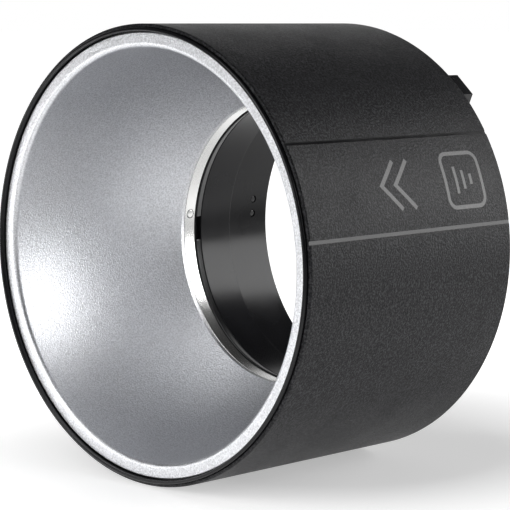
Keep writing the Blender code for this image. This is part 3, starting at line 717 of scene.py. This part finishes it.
def stroke(shape, corners, width, closed):
    """Add a thin closed ribbon of ink, mitred at its corners, along a path on the tube."""
    path = divided(corners, closed)
    count = len(path)
    sections = []
    for i, here in enumerate(path):
        before = path[i - 1] if i or closed else here
        after = path[(i + 1) % count] if i < count - 1 or closed else here
        ahead, behind = (after - here).normalized(), (here - before).normalized()
        along = (ahead + behind).normalized()
        side = Vector((-along.y, along.x)) * width / 2
        side /= max(along.dot(ahead if after != here else behind), 0.3)
        corners_here = ((here - side, -INK), (here - side, INK), (here + side, INK), (here + side, -INK))
        sections.append([shape.verts.new(on_shell(p.x, p.y, lift)) for p, lift in corners_here])
    for i in range(count if closed else count - 1):
        low, high = sections[i], sections[(i + 1) % count]
        for k in range(4):
            shape.faces.new((low[k - 1], low[k], high[k], high[k - 1]))
    if not closed:
        shape.faces.new(sections[0])
        shape.faces.new(reversed(sections[-1]))


def printed(name, strokes):
    """One printed mark from its strokes: (corners, width, closed)."""
    shape = bmesh.new()
    for corners, width, closed in strokes:
        stroke(shape, corners, width, closed)
    finish_piece(new_piece(name, shape, "print_ink"), "housing", "shell_black", sharp=20)


def soft_square(centre, half, corner, steps=8):
    """A square outline with round corners."""
    points = []
    for quarter, (u, v) in enumerate(((1, 1), (-1, 1), (-1, -1), (1, -1))):
        middle = (centre[0] + u * (half - corner), centre[1] + v * (half - corner))
        for step in range(steps + 1):
            turn = math.pi / 2 * (quarter + step / steps)
            points.append((middle[0] + corner * math.cos(turn), middle[1] + corner * math.sin(turn)))
    return points


def marks():
    """A double chevron that points to the mouth, and a soft square with three bars."""
    arm = 6.3
    chevrons = [([(-arm, apex + arm), (0.0, apex), (arm, apex + arm)], 1.15, False)
                for apex in (MOUTH + 28.4, MOUTH + 33.6)]
    printed("mark_chevrons", chevrons)
    along = MOUTH + 60.2
    square = [(soft_square((0.0, along), 7.2, 2.6), 1.05, True)]
    square += [([(-half, along + shift), (half, along + shift)], 1.0, False)
               for half, shift in ((3.6, -2.9), (2.5, 0.0), (1.4, 2.9))]
    printed("mark_square", square)


# ---------------------------------------------------------------- stage, light, camera

def stage():
    """Pale floor under the object, with a painted glow in a fan behind it and a painted contact shadow
    close to it.
    """
    shape = bmesh.new()
    bmesh.ops.create_grid(shape, x_segments=8, y_segments=8, size=20.0)
    mesh = bpy.data.meshes.new("floor")
    shape.to_mesh(mesh)
    shape.free()
    floor = bpy.data.objects.new("floor", mesh)
    floor.location.z = cad_box[0][2] - 0.0001
    bpy.context.scene.collection.objects.link(floor)
    made, tree, shader, place = shader_nodes("floor_painted_glow_and_shadow")
    tone = noise(tree, place, 3, 2.0)
    tree.links.new(ramp(tree, tone, [(0.3, (0.66,) * 3), (0.7, (0.68,) * 3)]),
                   shader.inputs["Base Color"])
    shader.inputs["Roughness"].default_value = 0.9
    shader.inputs["Specular IOR Level"].default_value = 0.1
    # painted glow: the floor emits light in a fan that widens from FAN_APEX towards the backdrop
    tree.links.new(towards(tree, place, FAN_APEX, BACKDROP, [(0.80, 0.02), (0.93, 1.0)]),
                   shader.inputs["Emission Color"])
    # painted contact shadow: the floor's glow is weaker within a few centimetres of the object
    away = tree.nodes.new("ShaderNodeVectorMath")
    away.operation = "LENGTH"
    tree.links.new(place, away.inputs[0])
    tree.links.new(ramp(tree, away.outputs["Value"], [(0.05, (0.42,) * 3), (0.14, (1.0,) * 3)]),
                   shader.inputs["Emission Strength"])
    mesh.materials.append(made)


def towards(tree, place, apex, direction, stops):
    """Grey levels by how well the way from the apex to a point agrees with the direction."""
    away = tree.nodes.new("ShaderNodeVectorMath")
    away.operation = "SUBTRACT"
    away.inputs[1].default_value = apex
    tree.links.new(place, away.inputs[0])
    unit = tree.nodes.new("ShaderNodeVectorMath")
    unit.operation = "NORMALIZE"
    tree.links.new(away.outputs["Vector"], unit.inputs[0])
    cosine = tree.nodes.new("ShaderNodeVectorMath")
    cosine.operation = "DOT_PRODUCT"
    cosine.inputs[1].default_value = direction
    tree.links.new(unit.outputs["Vector"], cosine.inputs[0])
    return ramp(tree, cosine.outputs["Value"], [(at, (level,) * 3) for at, level in stops])


def softbox(name, azimuth, elevation, distance, size, radiance):
    """A rectangular area light that faces the object from an azimuth and elevation in degrees."""
    light = bpy.data.lights.new(name, "AREA")
    light.shape = "RECTANGLE"
    light.size, light.size_y = size
    light.energy = radiance * math.pi * size[0] * size[1]
    obj = bpy.data.objects.new(name, light)
    turn, lift = math.radians(azimuth), math.radians(elevation)
    way = Vector((math.cos(lift) * math.cos(turn), math.cos(lift) * math.sin(turn), math.sin(lift)))
    obj.location = AIM + way * distance
    obj.rotation_euler = way.to_track_quat("Z", "Y").to_euler()
    bpy.context.scene.collection.objects.link(obj)


def lights():
    """Four soft lights and the lit backdrop behind the object."""
    softbox("front", 262, 24, 1.5, (0.80, 1.00), 4.2)
    softbox("near_card", 225, -4, 0.24, (0.10, 0.10), 2.6)
    softbox("front_high", 268, 56, 1.5, (0.60, 0.50), 2.5)
    softbox("right_rear", 57, 16, 1.5, (1.10, 0.76), 5.7)
    world = bpy.data.worlds.new("studio")
    world.use_nodes = True
    tree = world.node_tree
    place = tree.nodes.new("ShaderNodeTexCoord").outputs["Generated"]
    tree.links.new(towards(tree, place, (0, 0, 0), BACKDROP, [(0.78, 0.03), (0.93, 1.0)]),
                   tree.nodes["Background"].inputs["Color"])
    bpy.context.scene.world = world


def camera():
    """Camera to the right of the mouth and a little above it."""
    lens = bpy.data.cameras.new("camera")
    lens.sensor_width = 36.0
    lens.lens = CAMERA_LENS
    lens.clip_start = 0.01
    obj = bpy.data.objects.new("camera", lens)
    obj.location = Vector((0.0, MOUTH * MM, 0.0)) + Vector(CAMERA_PLACE) * SHELL_R * MM
    obj.rotation_euler = (math.radians(90 - CAMERA_ELEVATION), 0.0, math.radians(CAMERA_AZIMUTH))
    bpy.context.scene.collection.objects.link(obj)
    bpy.context.scene.camera = obj


shell_tube()
mouth_bead()
bowl()
throat_liner()
rivets()
clip_ring()
collar()
bulkhead()
screws("collar_bolt", COLLAR_SCREWS, BULKHEAD_REAR + GAP, "collar_screw")
spring_washer()
rear_cover()
screws("cap_bolt", CAP_SCREWS, CAP_SCREW_FLOOR + GAP, "cap_screw")
lock_lever()
shoes()
marks()
stage()
lights()
camera()
bpy.context.scene.view_settings.view_transform = "Standard"
